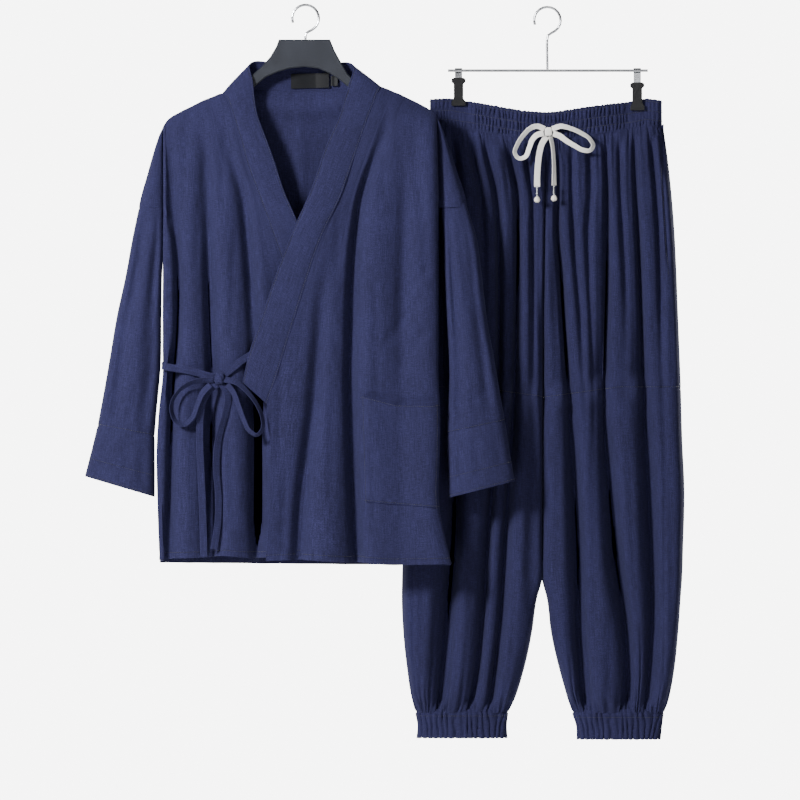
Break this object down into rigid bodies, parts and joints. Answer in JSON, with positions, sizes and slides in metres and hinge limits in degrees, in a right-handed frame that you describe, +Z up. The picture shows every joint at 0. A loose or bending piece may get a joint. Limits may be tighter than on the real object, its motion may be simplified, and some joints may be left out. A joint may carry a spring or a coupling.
{
  "type": "kimono jacket and trousers set",
  "caption": "Wrap-front kimono jacket on a hanger beside gathered trousers with a drawstring, held by a clip hanger.",
  "frame": {"origin": "inside top of the jacket hanger's hook, where a rail or peg carries it", "axes": "+X towards the trousers at the viewer's right, -Y out of the garments' fronts, +Z up"},
  "size_m": [0.9019, 0.1385, 1.1059],
  "materials": {
    "navy_cloth": "matt slub weave",
    "navy_trouser_cloth": "matt slub weave",
    "label_tape": "plain woven tape",
    "cream_cord": "flat braided cord",
    "charcoal_plastic": "satin moulded",
    "black_plastic": "satin moulded",
    "steel": "plated wire"
  },
  "bodies": {
    "root": {"jacket_front_over": "navy_cloth", "jacket_front_under": "navy_cloth", "jacket_back": "navy_cloth", "sleeve_left": "navy_cloth", "sleeve_cuff_left": "navy_cloth", "sleeve_right": "navy_cloth", "sleeve_cuff_right": "navy_cloth", "collar_band": "navy_cloth", "patch_pocket": "navy_cloth", "side_tie_run": "navy_cloth", "band_tie_run": "navy_cloth", "tie_loop_left": "navy_cloth", "tie_loop_right": "navy_cloth", "tie_tail_left": "navy_cloth", "tie_tail_right": "navy_cloth", "tie_knot": "navy_cloth", "leg_upper_front_left": "navy_trouser_cloth", "leg_upper_back_left": "navy_trouser_cloth", "leg_lower_front_left": "navy_trouser_cloth", "leg_lower_back_left": "navy_trouser_cloth", "leg_upper_front_right": "navy_trouser_cloth", "leg_upper_back_right": "navy_trouser_cloth", "leg_lower_front_right": "navy_trouser_cloth", "leg_lower_back_right": "navy_trouser_cloth", "waistband_front": "navy_trouser_cloth", "waistband_back": "navy_trouser_cloth", "ankle_cuff_left": "navy_trouser_cloth", "ankle_cuff_right": "navy_trouser_cloth", "neck_label": "label_tape", "neck_size_tab": "label_tape", "drawstring_loop_left": "cream_cord", "drawstring_loop_right": "cream_cord", "drawstring_tail_left": "cream_cord", "drawstring_tail_right": "cream_cord", "drawstring_knot": "cream_cord", "drawstring_bead_left": "cream_cord", "drawstring_bead_right": "cream_cord", "hanger_body": "charcoal_plastic", "waist_clip_left": "black_plastic", "waist_clip_right": "black_plastic", "hanger_hook": "steel", "clip_hanger_bar": "steel", "clip_hanger_hook": "steel", "clip_loop_left": "steel", "clip_loop_right": "steel", "drawstring_tip_left": "steel", "drawstring_tip_right": "steel"}
  },
  "joints": []
}
